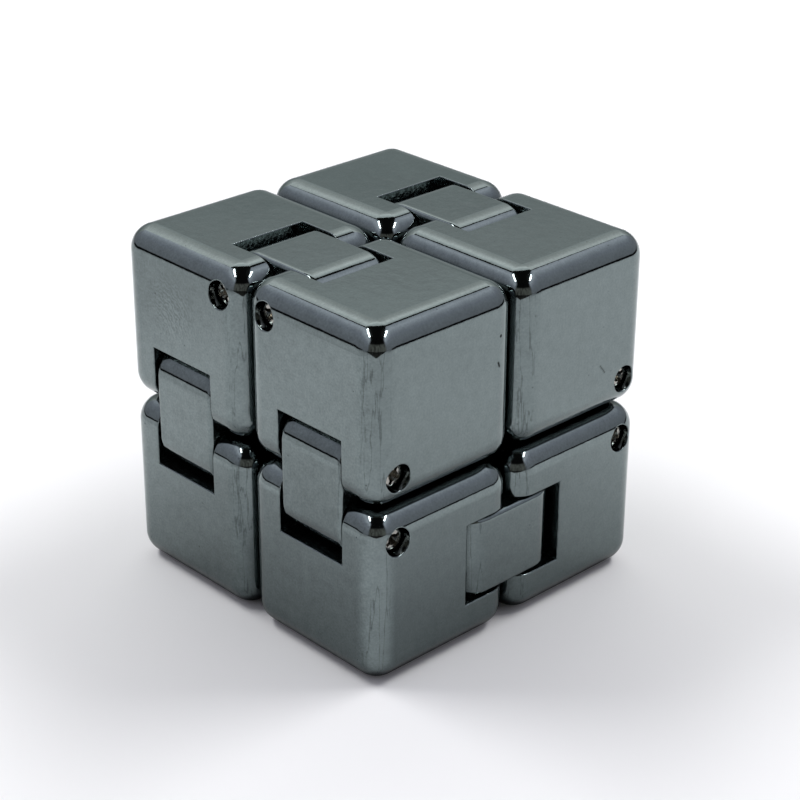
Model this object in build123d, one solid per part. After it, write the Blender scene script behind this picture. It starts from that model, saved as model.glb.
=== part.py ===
"""A folding pocket cube: eight hollow cubelets joined in one closed ring by eight hinge links.

The cube is modelled closed, centred on x = 0 and y = 0, and resting on z = 0. All sizes are in
millimetres. One corner cubelet, one link and one pair of screws are drawn in place, and the rest
are turned or mirrored copies of them.
"""

from build123d import *
import os

# Closed cube and its eight cubelets
HALF = 20.0                 # half the side of the closed cube
SEAM_GAP = 0.4              # space between neighbouring cubelets
EDGE_RADIUS = 2.8           # outer rounding, which lets two cubelets roll past each other
WALL = 1.8                  # shell wall
RIM_ROUNDING = 0.12         # on the sharp edges round slots and screw holes
SIDE = HALF - SEAM_GAP / 2  # side of one cubelet
MIDDLE = HALF - SIDE / 2    # centre of a cubelet on each axis

# Hinge slots and links
PIN_DEPTH = 3.3             # hinge axis below the outer face
PIN_FROM_SEAM = 3.62        # hinge axis to the middle of the seam
SLOT_CENTRE = 10.25         # middle of a slot, from the middle of the cube
SLOT_WIDTH = 9.6
SLOT_REACH = 7.05           # end wall of a slot, from the middle of the seam
SLOT_WALL = 1.3             # housing round a slot, inside the shell
LINK_WIDTH = 9.2
LINK_RADIUS = 3.25          # round end of a link, about its hinge axis
LINK_EDGE = 0.55            # rounding of a link's long edges
SLOT_DEPTH = PIN_DEPTH + LINK_RADIUS + 0.2

# Hinge screws
SHANK_RADIUS = 0.9          # smooth part, on which the link turns
SHANK_HOLE_RADIUS = 0.95
THREAD_RADIUS = 0.72        # screwed end, drawn plain
THREAD_HOLE_RADIUS = 0.74
THREAD_LENGTH = 2.6
HEAD_RADIUS = 1.42
HEAD_HEIGHT = 1.2
HEAD_SINK = 0.95            # top of the head below the cube's face
HEAD_HOLE_RADIUS = 1.52
HEAD_ROUNDING = 0.5
DRIVE_WIDTH = 0.42          # cross recess in the head, with a tapered middle
DRIVE_LENGTH = 1.9
DRIVE_DEPTH = 0.75
DRIVE_MIDDLE_RADIUS = 0.62
DRIVE_TURN = 28             # degrees that the cross is turned on its screw
BOSS_RADIUS = 2.3           # plastic round the screwed end

# Cover that closes a shell, on the side with no hinge
COVER_SIDE = 13.0
COVER_THICKNESS = 1.3
COVER_CORNER = 1.6
COVER_PLAY = 0.06
SPIGOT_SIDE = 10.4          # frame behind the cover that locates it
SPIGOT_DEPTH = 0.8
SPIGOT_WALL = 1.2
LEDGE_THICKNESS = 1.1       # shoulder that the cover rests on

SEAT = HALF - HEAD_SINK - HEAD_HEIGHT            # underside of a screw's head
SLOT_OUTER = SLOT_CENTRE + SLOT_WIDTH / 2        # slot wall nearer the cube's outside
SLOT_INNER = SLOT_CENTRE - SLOT_WIDTH / 2        # slot wall nearer the cube's middle
SHANK_END = SLOT_INNER - 0.15
SCREW_END = SHANK_END - THREAD_LENGTH
COVER_FACE = SEAM_GAP / 2
LEDGE_BACK = COVER_FACE + COVER_THICKNESS + LEDGE_THICKNESS
TOLERANCE = 0.001


def block(x, y, z):
    """A box between two values on each axis."""
    size = Box(x[1] - x[0], y[1] - y[0], z[1] - z[0])
    return Pos((x[0] + x[1]) / 2, (y[0] + y[1]) / 2, (z[0] + z[1]) / 2) * size


def rod_y(radius, x, z, y_from, y_to):
    """A round bar along Y."""
    bar = Rot(90, 0, 0) * Cylinder(radius, abs(y_to - y_from))
    return Pos(x, (y_from + y_to) / 2, z) * bar


def to_second_hinge(shape):
    """From a cubelet's top front hinge to its front right one: (x, y, z) becomes (-y, -z, x)."""
    return shape.rotate(Axis((0, 0, 0), (1, 1, 1)), 240).rotate(Axis.Z, 180)


def from_second_hinge(shape):
    """The opposite turn, from a cubelet's front right hinge to its top front one."""
    return shape.rotate(Axis.Z, 180).rotate(Axis((0, 0, 0), (1, 1, 1)), 120)


def to_bottom(shape):
    """From the top front right cubelet to the one below it: (x, y, z) becomes (-y, -z, -x)."""
    return to_second_hinge(shape).mirror(Plane.XY)


def slot_space(margin=0.0):
    """The room that a link needs in the top face of the front right cubelet."""
    return block(
        (-1, SLOT_REACH + margin),
        (-SLOT_OUTER - margin, -SLOT_INNER + margin),
        (HALF - SLOT_DEPTH - margin, HALF + 1),
    )


def screw_spaces():
    """The stepped hole for a top front screw: head recess, shank hole and thread hole."""
    x = PIN_FROM_SEAM
    z = HALF - PIN_DEPTH
    head = rod_y(HEAD_HOLE_RADIUS, x, z, -HALF - 1, -SEAT)
    shank = rod_y(SHANK_HOLE_RADIUS, x, z, -SEAT - 0.1, -SHANK_END)
    thread = rod_y(THREAD_HOLE_RADIUS, x, z, -SHANK_END - 0.1, -SCREW_END + 0.1)
    return head + shank + thread


def screw_boss():
    """Plastic round a top front screw, on both sides of its slot."""
    x = PIN_FROM_SEAM
    z = HALF - PIN_DEPTH
    head_side = rod_y(HEAD_HOLE_RADIUS + 1.1, x, z, -HALF, -SLOT_OUTER)
    thread_side = rod_y(BOSS_RADIUS, x, z, -SLOT_INNER, -LEDGE_BACK - 0.1)
    return head_side + thread_side


def rounded_square(side, corner, thickness):
    """A flat square plate with rounded corners, lying across Y from y = 0 towards -Y."""
    outline = RectangleRounded(side, side, corner)
    return Rot(90, 0, 0) * extrude(outline, thickness)


def at_cover(shape, depth=0.0):
    """Moves a plate drawn at the origin to the hingeless side of the front right cubelet."""
    return Pos(MIDDLE, -COVER_FACE - depth, MIDDLE) * shape


def near(value, target):
    """Whether two lengths are the same."""
    return abs(value - target) < TOLERANCE


def on_slot_mouth(edge):
    """Whether an edge runs round the mouth of the top front slot."""
    box = edge.bounding_box()
    if edge.is_closed:
        return False
    if near(box.min.X, SLOT_REACH):
        return near(box.max.X, SLOT_REACH) and near(box.min.Z, HALF)
    sides = (-SLOT_OUTER, -SLOT_INNER)
    on_side = any(near(box.min.Y, y) and near(box.max.Y, y) for y in sides)
    in_reach = box.max.X < SLOT_REACH + TOLERANCE
    above_floor = box.max.Z > HALF - SLOT_DEPTH + TOLERANCE
    return on_side and in_reach and above_floor


def on_hole_mouth(edge):
    """Whether an edge runs round the mouth of the top front screw hole."""
    for share in (0.0, 0.5, 1.0):
        point = edge.position_at(share)
        from_axis = (point.X - PIN_FROM_SEAM, point.Z - HALF + PIN_DEPTH)
        if not near((from_axis[0] ** 2 + from_axis[1] ** 2) ** 0.5, HEAD_HOLE_RADIUS):
            return False
        if point.Y > -SEAT - TOLERANCE:
            return False
    return True


def eased(body):
    """The shell with the mouths of the top front slot and screw hole slightly rounded."""
    body = fillet([edge for edge in body.edges() if on_slot_mouth(edge)], RIM_ROUNDING)
    return fillet([edge for edge in body.edges() if on_hole_mouth(edge)], RIM_ROUNDING)


def shell():
    """The hollow body of the top front right cubelet, open on its back for the cover."""
    low, high = SEAM_GAP / 2, HALF
    body = block((low, high), (-high, -low), (low, high))
    body = fillet(body.edges(), EDGE_RADIUS)
    cavity = block((low + WALL, high - WALL), (-high + WALL, -LEDGE_BACK), (low + WALL, high - WALL))
    cavity = fillet(cavity.edges(), EDGE_RADIUS - WALL)
    housings = slot_space(SLOT_WALL) + to_second_hinge(slot_space(SLOT_WALL))
    bosses = screw_boss() + to_second_hinge(screw_boss())
    hollow = cavity - housings - bosses
    recess_side = COVER_SIDE + 2 * COVER_PLAY
    recess = rounded_square(recess_side, COVER_CORNER, COVER_THICKNESS)
    opening_side = SPIGOT_SIDE + 2 * COVER_PLAY
    opening = rounded_square(opening_side, COVER_CORNER - 0.6, LEDGE_BACK - COVER_FACE + 0.1)
    body = body - hollow - at_cover(recess) - at_cover(opening)
    body = body - slot_space() - to_second_hinge(slot_space())
    body = body - screw_spaces() - to_second_hinge(screw_spaces())
    return to_second_hinge(eased(from_second_hinge(eased(body))))


def cover():
    """The plate that closes the top front right shell, with the frame that locates it."""
    plate = rounded_square(COVER_SIDE, COVER_CORNER, COVER_THICKNESS - 0.02)
    rim = fillet(plate.faces().sort_by(Axis.Y)[-1].edges(), 0.2)
    spigot = rounded_square(SPIGOT_SIDE, COVER_CORNER - 0.6, SPIGOT_DEPTH + 0.1)
    hole = rounded_square(SPIGOT_SIDE - 2 * SPIGOT_WALL, 0.5, SPIGOT_DEPTH + 0.1)
    return at_cover(rim) + at_cover(spigot - hole, COVER_THICKNESS - 0.12)


def link():
    """The top front link: a thick plate, fully rounded about its two hinge holes."""
    length = 2 * (PIN_FROM_SEAM + LINK_RADIUS)
    outline = SlotOverall(length, 2 * LINK_RADIUS)
    bar = Rot(90, 0, 0) * extrude(outline, LINK_WIDTH / 2, both=True)
    sides = [bar.faces().sort_by(Axis.Y)[0], bar.faces().sort_by(Axis.Y)[-1]]
    bar = fillet([edge for side in sides for edge in side.edges()], LINK_EDGE)
    for x in (-PIN_FROM_SEAM, PIN_FROM_SEAM):
        bar -= rod_y(SHANK_HOLE_RADIUS, x, 0, -LINK_WIDTH, LINK_WIDTH)
    return Pos(0, -SLOT_CENTRE, HALF - PIN_DEPTH) * bar


def screw():
    """The screw of the top front hinge in the front right cubelet."""
    x = PIN_FROM_SEAM
    z = HALF - PIN_DEPTH
    top = HALF - HEAD_SINK
    head = rod_y(HEAD_RADIUS, x, z, -top, -SEAT)
    head = fillet(head.edges().sort_by(Axis.Y)[0], HEAD_ROUNDING)
    for turn in (DRIVE_TURN, DRIVE_TURN + 90):
        head -= Pos(x, -top, z) * Rot(0, turn, 0) * Box(DRIVE_LENGTH, 2 * DRIVE_DEPTH, DRIVE_WIDTH)
    middle = Rot(90, 0, 0) * Cone(DRIVE_WIDTH / 2, DRIVE_MIDDLE_RADIUS, DRIVE_DEPTH)
    head -= Pos(x, -top + DRIVE_DEPTH / 2, z) * middle
    shank = rod_y(SHANK_RADIUS, x, z, -SEAT - 0.1, -SHANK_END)
    thread = rod_y(THREAD_RADIUS, x, z, -SHANK_END - 0.1, -SCREW_END)
    return head + shank + thread


def screw_pair():
    """The two hinge screws of the top front right cubelet."""
    return [screw(), to_second_hinge(screw())]


def placed(shape, bottom, left, back):
    """A copy of a front right shape for any of the eight cubelets."""
    if bottom:
        shape = to_bottom(shape)
    if left:
        shape = shape.mirror(Plane.YZ)
    if back:
        shape = shape.mirror(Plane.XZ)
    return shape


def write(name, shapes):
    """Writes one node, lifted so that the cube rests on z = 0."""
    solids = [solid for shape in shapes for solid in (Pos(0, 0, HALF) * shape).solids()]
    export_step(Compound(children=solids) if len(solids) > 1 else solids[0], f"parts/{name}.step")


def write_cubelets():
    """Eight shells, covers and pairs of screws."""
    pieces = {"shell": [shell()], "cover": [cover()], "screws": screw_pair()}
    for bottom in (False, True):
        for left in (False, True):
            for back in (False, True):
                level = "bottom" if bottom else "top"
                depth = "back" if back else "front"
                hand = "left" if left else "right"
                for kind, shapes in pieces.items():
                    copies = [placed(shape, bottom, left, back) for shape in shapes]
                    write(f"{level}_{depth}_{hand}_{kind}", copies)


def write_links():
    """Two links on top, two down each of the front and back, and one on each side."""
    top = link()
    front = to_bottom(top)
    side = to_bottom(front)
    write("top_front_link", [top])
    write("top_back_link", [top.mirror(Plane.XZ)])
    write("front_right_link", [front])
    write("front_left_link", [front.mirror(Plane.YZ)])
    write("back_right_link", [front.mirror(Plane.XZ)])
    write("back_left_link", [front.mirror(Plane.YZ).mirror(Plane.XZ)])
    write("right_link", [side])
    write("left_link", [side.mirror(Plane.YZ)])


os.makedirs("parts", exist_ok=True)
write_cubelets()
write_links()
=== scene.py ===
"""Looks, light and camera for the folding pocket cube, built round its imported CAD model.

Every visible piece is a CAD node that keeps its own mesh. This script gives each one its material:
dark mirror plating with a moulded unevenness for the shells, covers and links, and dull steel for
the screws. Lengths are in metres, and +Z is up.
"""

import math

import bpy
from mathutils import Matrix, Vector


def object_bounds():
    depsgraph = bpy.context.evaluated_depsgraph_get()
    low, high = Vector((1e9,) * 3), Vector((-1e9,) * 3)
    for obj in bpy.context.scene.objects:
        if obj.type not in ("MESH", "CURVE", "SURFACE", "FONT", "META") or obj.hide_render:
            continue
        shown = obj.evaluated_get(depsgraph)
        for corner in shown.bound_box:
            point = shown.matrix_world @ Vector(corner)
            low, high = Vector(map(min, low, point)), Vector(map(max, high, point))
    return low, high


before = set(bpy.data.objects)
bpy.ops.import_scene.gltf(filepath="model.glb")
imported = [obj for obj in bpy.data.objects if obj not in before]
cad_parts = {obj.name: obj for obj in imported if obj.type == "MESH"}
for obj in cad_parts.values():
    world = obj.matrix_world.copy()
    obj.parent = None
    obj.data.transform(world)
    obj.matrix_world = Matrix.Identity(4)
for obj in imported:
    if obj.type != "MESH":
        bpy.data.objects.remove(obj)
bpy.context.view_layer.update()
cad_low, cad_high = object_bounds()

MM = 0.001
TINY = 0.001                                # keeps a division away from nothing

# Camera, at the angle of the photograph
CAMERA_AZIMUTH = math.radians(46.43)
CAMERA_ELEVATION = math.radians(26.17)
CAMERA_ROLL = math.radians(0.29)
CAMERA_DISTANCE = 229.1 * MM
CAMERA_LENS = 93.56                         # in millimetres, like the sensor's width
CAMERA_SENSOR = 36.0
CAMERA_SHIFT = (1.68 * MM, -0.47 * MM)      # sideways and up, seen from the camera
CAMERA_CLIP = (0.01, 20.0)

# Light tent, as a box seen from the cube. Lengths are in units of the distance to its back wall.
TENT_TURN = math.radians(4.5)               # the back wall isn't quite square to the view
TENT_SIDE = 0.95                            # distance to a side wall
TENT_BACK_ENDS = 0.84                       # brightness of the back wall's ends, against its middle
TENT_GAP_FOOT = 1.27                        # height above which its corners are open
TENT_GAP_SLOPE = 2.0                        # rise of that height away from a corner
TENT_STRENGTH = 2.0                         # brightness that the colours here are multiplied by
TENT_BLACK = (0.005, 0.005, 0.005, 1.0)
TENT_FRONT = (0.145, 0.138, 0.125, 1.0)
WALL_HEIGHTS = (-0.1, 2.7)                  # lowest and highest place of a wall's colours
BACK_WALL = [                               # height, and colour there
    (0.0, (0.20, 0.22, 0.22)),
    (0.37, (0.205, 0.23, 0.23)),
    (0.39, (0.25, 0.27, 0.27)),
    (0.415, (0.27, 0.29, 0.29)),
    (0.435, (0.32, 0.345, 0.345)),
    (0.54, (0.38, 0.40, 0.40)),
    (0.64, (0.45, 0.46, 0.45)),
    (0.78, (0.52, 0.525, 0.52)),
    (0.90, (0.64, 0.635, 0.63)),
    (1.0, (0.80, 0.79, 0.78)),
    (1.15, (0.95, 0.94, 0.93)),
    (1.3, (0.90, 0.90, 0.90)),
    (1.5, (0.72, 0.73, 0.73)),
    (2.4, (0.66, 0.67, 0.67)),
    (2.5, (0.01, 0.01, 0.01)),
]
SIDE_WALL = [
    (0.0, (0.21, 0.21, 0.23)),
    (0.27, (0.235, 0.235, 0.265)),
    (0.5, (0.265, 0.265, 0.30)),
    (0.7, (0.295, 0.295, 0.345)),
    (0.85, (0.36, 0.36, 0.41)),
    (1.0, (0.46, 0.46, 0.52)),
    (1.2, (0.60, 0.59, 0.66)),
    (1.4, (0.50, 0.50, 0.56)),
    (1.65, (0.40, 0.40, 0.46)),
    (1.75, (0.01, 0.01, 0.01)),
]

# Table. Its ends and its shade are painted, and show only in the plating.
TABLE_COLOUR = (0.86, 0.86, 0.86, 1.0)
TABLE_BLACK = (0.02, 0.02, 0.02, 1.0)
TABLE_DIM = (0.06, 0.055, 0.05, 1.0)
TABLE_REACH = 3.0                           # from the middle to each side of its mesh
TABLE_END = 580 * MM                        # where it is painted dark, to the left and to the right
TABLE_FRONT = 120 * MM                      # where a painted dim wedge begins that widens towards the camera
TABLE_FRONT_SLOPE = 1.2                     # how blunt that wedge is

LAMP_HEIGHT = 400 * MM

# Plating and steel
PLATING_COLOUR = (0.167, 0.200, 0.201)
STEEL_COLOUR = (0.40, 0.39, 0.36)
EDGE_WIDTH = 0.3 * MM
GAP_SHADE_REACH = 2.0 * MM                       # how near a facing surface paints shade into the plating, and marks a slot wall
LEAST_TONE = 0.05                           # the darkest that wear alone leaves the plating
SWIRL_CENTRE = (-14.5 * MM, -20.0 * MM, 29.0 * MM)
SWIRL_PATCH = (-11.5, -20.0, 32.5)          # middle of the swirl marks, in millimetres
SWIRL_REACH = 5.5                           # and how far they go, in millimetres
MARK_STEPS = 4
MARK_REACH = 0.22                           # half the width of a scratch, in millimetres
MARK_DEPTH = -0.7                           # change of tone in a scratch
MARKS = [                                   # short dark scratches, from and to, in millimetres
    ((20.0, 12.7, 26.4), (20.0, 13.4, 25.5)),
    ((20.0, -3.1, 31.9), (20.0, -2.9, 31.4)),
    ((20.0, -2.8, 34.8), (20.0, -2.8, 34.7)),
]


class Tree:
    """Short calls for building a node tree."""

    def __init__(self, tree):
        self.tree = tree
        tree.nodes.clear()

    def add(self, kind, inputs=None, **settings):
        """A new node. Inputs are given by name or number, as values or as sockets to link from."""
        node = self.tree.nodes.new(kind)
        for name, value in settings.items():
            setattr(node, name, value)
        for key, value in (inputs or {}).items():
            if isinstance(value, bpy.types.NodeSocket):
                self.tree.links.new(value, node.inputs[key])
            else:
                node.inputs[key].default_value = value
        return node

    def math(self, operation, *values):
        """The result of a calculation on numbers and sockets."""
        inputs = dict(enumerate(values))
        return self.add("ShaderNodeMath", inputs, operation=operation).outputs[0]

    def vector(self, operation, *values):
        """The vector that a calculation on vectors gives."""
        inputs = dict(enumerate(values))
        return self.add("ShaderNodeVectorMath", inputs, operation=operation).outputs["Vector"]

    def measure(self, operation, first, second):
        """The number that a calculation on two vectors gives, such as their distance."""
        node = self.add("ShaderNodeVectorMath", {0: first, 1: second}, operation=operation)
        return node.outputs["Value"]

    def scaled(self, vector, factor):
        """A vector or colour times a number."""
        node = self.add("ShaderNodeVectorMath", {0: vector, "Scale": factor}, operation="SCALE")
        return node.outputs["Vector"]

    def parts(self, vector):
        """The x, y and z of a vector."""
        return self.add("ShaderNodeSeparateXYZ", {"Vector": vector}).outputs

    def facing(self, vector, azimuth):
        """A vector as rightwards, ahead and up for someone who looks along an azimuth."""
        inputs = {"Vector": vector, "Angle": -azimuth}
        node = self.add("ShaderNodeVectorRotate", inputs, rotation_type="Z_AXIS")
        return node.outputs["Vector"]

    def smooth(self, value, low, high, result=(0.0, 1.0), interpolation="SMOOTHSTEP"):
        """A step from result[0] at low to result[1] at high, smooth unless another kind is given."""
        inputs = {
            "Value": value,
            "From Min": low,
            "From Max": high,
            "To Min": result[0],
            "To Max": result[1],
        }
        node = self.add("ShaderNodeMapRange", inputs, interpolation_type=interpolation)
        return node.outputs["Result"]

    def mix(self, factor, first, second):
        """A colour between two colours."""
        inputs = {"Factor": factor, 6: first, 7: second}
        return self.add("ShaderNodeMix", inputs, data_type="RGBA").outputs[2]

    def ramp(self, value, stops):
        """A colour ramp through (place, colour) stops."""
        node = self.add("ShaderNodeValToRGB", {"Fac": value})
        elements = node.color_ramp.elements
        while len(elements) > 1:
            elements.remove(elements[-1])
        for index, (place, colour) in enumerate(stops):
            element = elements[0] if index == 0 else elements.new(place)
            element.position = place
            element.color = (*colour, 1.0)
        return node.outputs["Color"]

    def noise(self, place, scale, detail=2.0):
        """Soft noise about 0, with features of about 1 / scale metres."""
        inputs = {"Vector": place, "Scale": scale, "Detail": detail, "Roughness": 0.55}
        value = self.add("ShaderNodeTexNoise", inputs).outputs["Fac"]
        return self.math("SUBTRACT", value, 0.5)

    def total(self, *shares):
        """The sum of (value, weight) shares."""
        result = 0.0
        for value, weight in shares:
            result = self.math("MULTIPLY_ADD", value, weight, result)
        return result

    def near_point(self, place, point, reach):
        """1 at a point given in millimetres, falling to 0 at a reach in millimetres."""
        spot = tuple(value * MM for value in point)
        return self.smooth(self.measure("DISTANCE", place, spot), reach * MM, 0.0)


def wall_colour(tree, height, stops):
    """The colour of a tent wall at a height, from its (height, colour) stops."""
    lowest, highest = WALL_HEIGHTS
    place = tree.smooth(height, lowest, highest, interpolation="LINEAR")
    span = highest - lowest
    return tree.ramp(place, [((level - lowest) / span, colour) for level, colour in stops])


def tent_colour(tree, direction):
    """The tent's colour in a direction: walls, a black roof and a dim open front."""
    turned = tree.facing(direction, CAMERA_AZIMUTH + TENT_TURN)
    side, depth, up = tree.parts(turned)
    sideways = tree.math("ABSOLUTE", side)

    # How far along this direction the back wall and the nearer side wall are, and how high up it
    to_back = tree.math("DIVIDE", 1.0, tree.math("MAXIMUM", depth, TINY))
    to_side = tree.math("DIVIDE", TENT_SIDE, tree.math("MAXIMUM", sideways, TINY))
    to_wall = tree.math("MINIMUM", to_back, to_side)
    height = tree.math("MULTIPLY", up, to_wall)

    # The back wall is dimmer at its ends
    spread = tree.math("DIVIDE", to_back, to_side)
    fade = tree.smooth(spread, 0.3, 0.8, (1.0, TENT_BACK_ENDS))
    back = tree.scaled(wall_colour(tree, height, BACK_WALL), fade)
    wall = wall_colour(tree, height, SIDE_WALL)
    colour = tree.mix(tree.math("LESS_THAN", to_back, to_side), wall, back)

    # The cloth is open where two walls meet, above a certain height
    alike = tree.math("DIVIDE", to_wall, tree.math("MAXIMUM", to_back, to_side))
    gap_foot = tree.math("MULTIPLY_ADD", alike, -TENT_GAP_SLOPE, TENT_GAP_FOOT + TENT_GAP_SLOPE)
    above_gap = tree.smooth(tree.math("SUBTRACT", height, gap_foot), -0.03, 0.05)
    colour = tree.mix(above_gap, colour, TENT_BLACK)

    # The side walls stand beyond the table's edge, with a dark gap under them
    level = tree.math("SQRT", tree.math("SUBTRACT", 1.0, tree.math("MULTIPLY", up, up)))
    level = tree.math("MAXIMUM", level, TINY)
    beside = tree.smooth(tree.math("DIVIDE", sideways, level), 0.82, 0.90)
    under_wall = tree.math("MULTIPLY", tree.smooth(height, 0.06, 0.03), beside)
    colour = tree.mix(under_wall, colour, TENT_BLACK)

    # The open front is dim and uneven, and black higher up
    uneven = tree.vector("MULTIPLY", turned, (7.0, 7.0, 1.5))
    inputs = {"Vector": uneven, "Scale": 1.0, "Detail": 2.0}
    patches = tree.add("ShaderNodeTexNoise", inputs).outputs["Fac"]
    patches = tree.smooth(patches, 0.40, 0.62, (0.45, 1.0))
    low = tree.math("MULTIPLY", tree.smooth(up, 0.55, 0.40), patches)
    front = tree.mix(low, TENT_BLACK, TENT_FRONT)
    towards_back = tree.math("DIVIDE", depth, level)
    return tree.mix(tree.smooth(towards_back, -0.75, -0.86), colour, front)


def tent_world():
    """A light tent for the plating to reflect. The camera sees plain white in its place."""
    world = bpy.data.worlds.new("light_tent")
    world.use_nodes = True
    bpy.context.scene.world = world
    tree = Tree(world.node_tree)
    direction = tree.add("ShaderNodeTexCoord").outputs["Generated"]
    colour = tent_colour(tree, direction)
    tent = tree.add("ShaderNodeBackground", {"Color": colour, "Strength": TENT_STRENGTH})
    plain = tree.add("ShaderNodeBackground", {"Color": (1.0, 1.0, 1.0, 1.0), "Strength": 1.0})
    seen = tree.add("ShaderNodeLightPath").outputs["Is Camera Ray"]
    shown = tree.add("ShaderNodeMixShader", {0: seen, 1: tent.outputs[0], 2: plain.outputs[0]})
    tree.add("ShaderNodeOutputWorld", {"Surface": shown.outputs[0]})


def lamp(name, sideways, near, far, width, power, reflected):
    """A long lamp overhead, lying along the viewing direction.

    Places are per unit of its height: sideways from the cube, and from its near to its far end. A
    reflected lamp is seen in the plating, and any other lamp only lights the table.
    """
    light = bpy.data.lights.new(name, "AREA")
    light.shape = "RECTANGLE"
    light.size = width * LAMP_HEIGHT
    light.size_y = (near - far) * LAMP_HEIGHT
    light.energy = power
    holder = bpy.data.objects.new(name, light)
    turn = Matrix.Rotation(CAMERA_AZIMUTH, 4, "Z")
    spot = Vector((sideways, -(near + far) / 2, 1.0)) * LAMP_HEIGHT
    holder.matrix_world = turn @ Matrix.Translation(spot)
    holder.visible_camera = False
    holder.visible_glossy = reflected
    holder.visible_diffuse = not reflected
    bpy.context.scene.collection.objects.link(holder)


def new_material(name):
    """A material, and the tree of its nodes."""
    material = bpy.data.materials.new(name)
    material.use_nodes = True
    return material, Tree(material.node_tree)


def table_colour(tree):
    """The table's plain colour, or the one with painted shade and painted dark parts that the plating
    sees.
    """
    place = tree.add("ShaderNodeTexCoord").outputs["Object"]
    side, depth, _ = tree.parts(tree.facing(place, CAMERA_AZIMUTH))
    across = tree.math("MAXIMUM", tree.math("ABSOLUTE", side), MM)

    # Painted shade: darker close to the cube, and a little darker well to its left
    inputs = {"Color": TABLE_COLOUR, "Distance": 18 * MM}
    painted_contact_shade = tree.add("ShaderNodeAmbientOcclusion", inputs, samples=4).outputs["Color"]
    leftward_shade = tree.smooth(side, -78 * MM, -105 * MM, (0.0, 0.2))
    seen = tree.mix(leftward_shade, painted_contact_shade, TABLE_BLACK)

    # Painted black past its left and right ends, but not behind the cube or in front of it
    beside = tree.smooth(tree.math("DIVIDE", tree.math("ABSOLUTE", depth), across), 0.70, 0.48)
    past_end = tree.math("MULTIPLY", tree.smooth(across, TABLE_END, TABLE_END + 100 * MM), beside)
    seen = tree.mix(past_end, seen, TABLE_BLACK)

    # Painted dim wedge that widens towards the camera
    nearer = tree.math("MULTIPLY", depth, -1.0)
    beyond = tree.math("MULTIPLY_ADD", across, -TABLE_FRONT_SLOPE, nearer)
    wedge = tree.smooth(beyond, TABLE_FRONT, TABLE_FRONT + 10 * MM)
    seen = tree.mix(wedge, seen, TABLE_DIM)

    # Only reflections see these painted colours; the camera sees the plain table
    reflected = tree.add("ShaderNodeLightPath").outputs["Is Glossy Ray"]
    return tree.mix(reflected, TABLE_COLOUR, seen)


def floor():
    """A pale matt table top."""
    mesh = bpy.data.meshes.new("table_top")
    corners = [(x * TABLE_REACH, y * TABLE_REACH, 0) for x, y in ((-1, -1), (1, -1), (1, 1), (-1, 1))]
    mesh.from_pydata(corners, [], [(0, 1, 2, 3)])
    top = bpy.data.objects.new("table_top", mesh)
    top.location.z = cad_low.z - 0.02 * MM
    bpy.context.scene.collection.objects.link(top)
    material, tree = new_material("white_table")
    surface = tree.add("ShaderNodeBsdfDiffuse", {"Color": table_colour(tree)})
    tree.add("ShaderNodeOutputMaterial", {"Surface": surface.outputs[0]})
    mesh.materials.append(material)


def bare_metal(tree, colour, roughness, height, depth):
    """Ends a material as metal, with bumps of a depth for each unit of height."""
    bump = tree.add("ShaderNodeBump", {"Strength": 1.0, "Distance": depth, "Height": height})
    inputs = {"Base Color": colour, "Metallic": 1.0, "Roughness": roughness, "Normal": bump.outputs[0]}
    surface = tree.add("ShaderNodeBsdfPrincipled", inputs)
    tree.add("ShaderNodeOutputMaterial", {"Surface": surface.outputs[0]})


def sharp_edges(tree):
    """1 on the sharp edges of slots and holes, where the plating is rough and burred."""
    geometry = tree.add("ShaderNodeNewGeometry")
    rounded = tree.add("ShaderNodeBevel", {"Radius": EDGE_WIDTH}, samples=4)
    agreement = tree.measure("DOT_PRODUCT", rounded.outputs[0], geometry.outputs["Normal"])
    return tree.smooth(agreement, 0.985, 0.90)


def upright_lines(tree, place, lean):
    """Fine wavering lines down the rounded upright edges."""
    both = tree.math("ABSOLUTE", tree.math("MULTIPLY", lean[0], lean[1]))
    upright = tree.smooth(both, 0.12, 0.35)
    drawn = tree.vector("MULTIPLY", place, (1.0, 1.0, 0.09))
    lines = tree.math("ABSOLUTE", tree.noise(drawn, 900.0, 3.0))
    return tree.math("MULTIPLY", tree.smooth(lines, 0.022, 0.004), upright)


def swirl_rings(tree, place):
    """Rings about 0, left by the polishing of the front left cubelet."""
    swirl = tree.vector("SUBTRACT", place, SWIRL_CENTRE)
    rings = tree.add(
        "ShaderNodeTexWave",
        {"Vector": swirl, "Scale": 620.0, "Distortion": 9.0, "Detail": 3.0, "Detail Scale": 2.5},
        wave_type="RINGS",
        rings_direction="SPHERICAL",
    ).outputs["Fac"]
    patch = tree.near_point(place, SWIRL_PATCH, SWIRL_REACH)
    return tree.math("MULTIPLY", tree.math("SUBTRACT", rings, 0.5), patch)


def scratched(tree, place, tone):
    """A tone with the short dark scratches in it, each a row of small dark spots."""
    for start, end in MARKS:
        for step in range(MARK_STEPS + 1):
            part = step / MARK_STEPS
            point = tuple(first + (last - first) * part for first, last in zip(start, end))
            spot = tree.near_point(place, point, MARK_REACH)
            tone = tree.math("MULTIPLY_ADD", spot, MARK_DEPTH, tone)
    return tone


def slot_walls(tree, normal, open_space):
    """1 on the flat walls inside slots, which are rough and speckled."""
    along = tree.parts(tree.vector("ABSOLUTE", normal))
    squareness = tree.math("MAXIMUM", tree.math("MAXIMUM", along[0], along[1]), along[2])
    flat = tree.smooth(squareness, 0.995, 0.9995)
    return tree.math("MULTIPLY", flat, tree.smooth(open_space, 0.85, 0.6))


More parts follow.
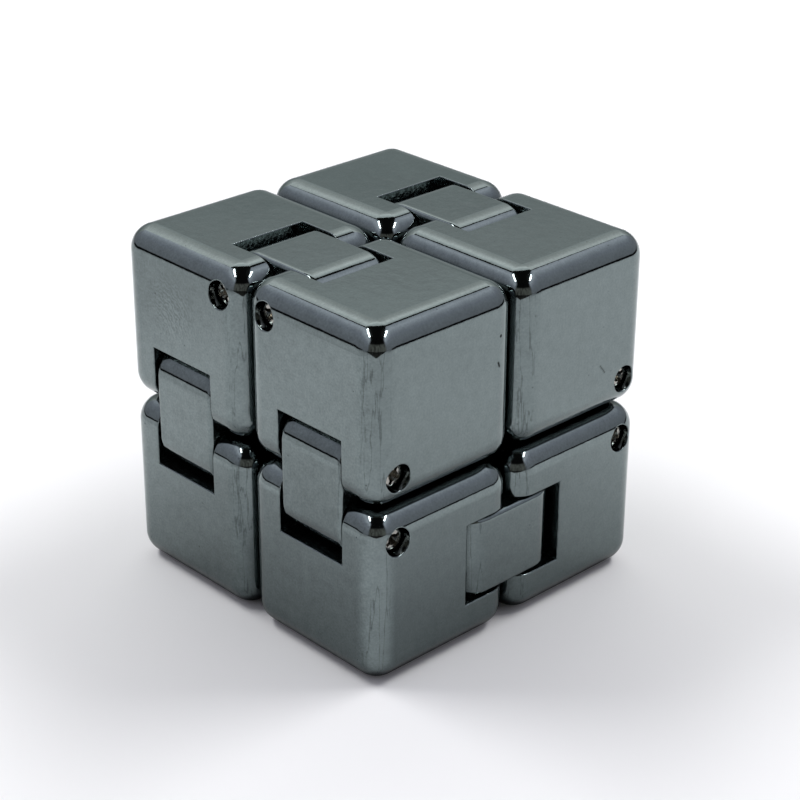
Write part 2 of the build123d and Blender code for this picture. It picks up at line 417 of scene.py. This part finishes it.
def plating():
    """Dark mirror plating on moulded plastic."""
    material, tree = new_material("dark_plating")
    coordinates = tree.add("ShaderNodeTexCoord")
    place = coordinates.outputs["Object"]
    normal = coordinates.outputs["Normal"]
    lean = tree.parts(normal)
    edge = sharp_edges(tree)
    # Ambient occlusion, for the painted gap shade and for finding slot walls
    inputs = {"Distance": GAP_SHADE_REACH}
    open_space = tree.add("ShaderNodeAmbientOcclusion", inputs, samples=4).outputs["AO"]
    inside = slot_walls(tree, normal, open_space)

    # Unevenness from 6 mm down to 0.2 mm across, and dark specks
    blotches = tree.noise(place, 180.0, 3.0)
    peel = tree.noise(place, 900.0)
    speckle = tree.noise(place, 2600.0, 1.0)
    grain = tree.noise(place, 4200.0)
    cells = tree.add("ShaderNodeTexVoronoi", {"Vector": place, "Scale": 420.0}).outputs["Distance"]
    specks = tree.smooth(cells, 0.055, 0.03)
    rings = swirl_rings(tree, place)
    lines = upright_lines(tree, place, lean)

    # Tone is 1 on clean plating. Wear shows most on the front, and shade is painted into the seams and
    # gaps.
    worn = tree.total((blotches, 0.14), (peel, 0.26), (grain, 0.42), (rings, 0.26), (specks, -0.3))
    front = tree.smooth(lean[1], -0.5, -0.95, (1.0, 1.6))
    tone = tree.math("MULTIPLY_ADD", worn, front, tree.total((lines, -0.34), (edge, -0.15)))
    tone = scratched(tree, place, tree.math("ADD", tone, 1.0))
    # Painted shade: darker where another surface is near, in seams and gaps
    painted_gap_shade = tree.smooth(open_space, 0.2, 0.85, (0.08, 1.0))
    tone = tree.math("MULTIPLY", tree.math("MAXIMUM", tone, LEAST_TONE), painted_gap_shade)
    speckled = tree.math("MAXIMUM", tree.math("MULTIPLY_ADD", speckle, 6.0, 1.1), 0.15)
    tone = tree.math("MULTIPLY_ADD", tree.math("SUBTRACT", speckled, tone), inside, tone)

    # Heights of the bumps are in millimetres
    burr = tree.math("MULTIPLY", tree.noise(place, 3200.0, 1.0), edge)
    pits = tree.math("MULTIPLY", speckle, inside)
    height = tree.total((blotches, 0.016), (peel, 0.0075), (grain, 0.001), (burr, 0.06), (pits, 0.08))
    haze = tree.smooth(blotches, -0.2, 0.2, (0.04, 0.08))
    roughness = tree.math("ADD", haze, tree.math("MULTIPLY", edge, 0.1))
    roughness = tree.math("MULTIPLY_ADD", inside, 0.15, roughness)
    bare_metal(tree, tree.scaled(PLATING_COLOUR, tone), roughness, height, MM)
    return material


def steel():
    """Screw steel, dark and a little dull."""
    material, tree = new_material("screw_steel")
    place = tree.add("ShaderNodeTexCoord").outputs["Object"]
    grain = tree.noise(place, 2500.0, 3.0)
    tone = tree.math("MULTIPLY_ADD", grain, 0.8, 1.0)
    roughness = tree.smooth(grain, -0.2, 0.2, (0.08, 0.22))
    bare_metal(tree, tree.scaled(STEEL_COLOUR, tone), roughness, grain, 0.010 * MM)
    return material


def dress(materials):
    """Gives each CAD node its material, by what kind of piece it is."""
    for name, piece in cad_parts.items():
        kind = name.rsplit("_", 1)[1]
        for holder in piece.material_slots:
            holder.material = materials[kind]


def camera():
    """The camera, looking at the middle of the cube from the photograph's side."""
    data = bpy.data.cameras.new("camera")
    data.lens = CAMERA_LENS
    data.sensor_width = CAMERA_SENSOR
    data.clip_start, data.clip_end = CAMERA_CLIP
    holder = bpy.data.objects.new("camera", data)
    turn = (
        Matrix.Rotation(CAMERA_AZIMUTH, 4, "Z")
        @ Matrix.Rotation(math.pi / 2 - CAMERA_ELEVATION, 4, "X")
        @ Matrix.Rotation(CAMERA_ROLL, 4, "Z")
    )
    centre = (cad_low + cad_high) / 2
    away = Matrix.Translation((*CAMERA_SHIFT, CAMERA_DISTANCE))
    holder.matrix_world = Matrix.Translation(centre) @ turn @ away
    bpy.context.scene.collection.objects.link(holder)
    bpy.context.scene.camera = holder


plated = plating()
dress({"shell": plated, "cover": plated, "link": plated, "screws": steel()})
floor()
tent_world()
lamp("left_tube", sideways=-0.48, near=0.52, far=-0.19, width=0.10, power=0.8, reflected=True)
lamp("right_tube", sideways=0.60, near=0.45, far=-0.12, width=0.10, power=0.8, reflected=True)
lamp("left_softbox", sideways=-0.66, near=0.05, far=-0.60, width=0.25, power=1.35, reflected=False)
lamp("right_softbox", sideways=0.66, near=0.05, far=-0.60, width=0.25, power=1.35, reflected=False)
camera()
bpy.context.scene.view_settings.view_transform = "Standard"
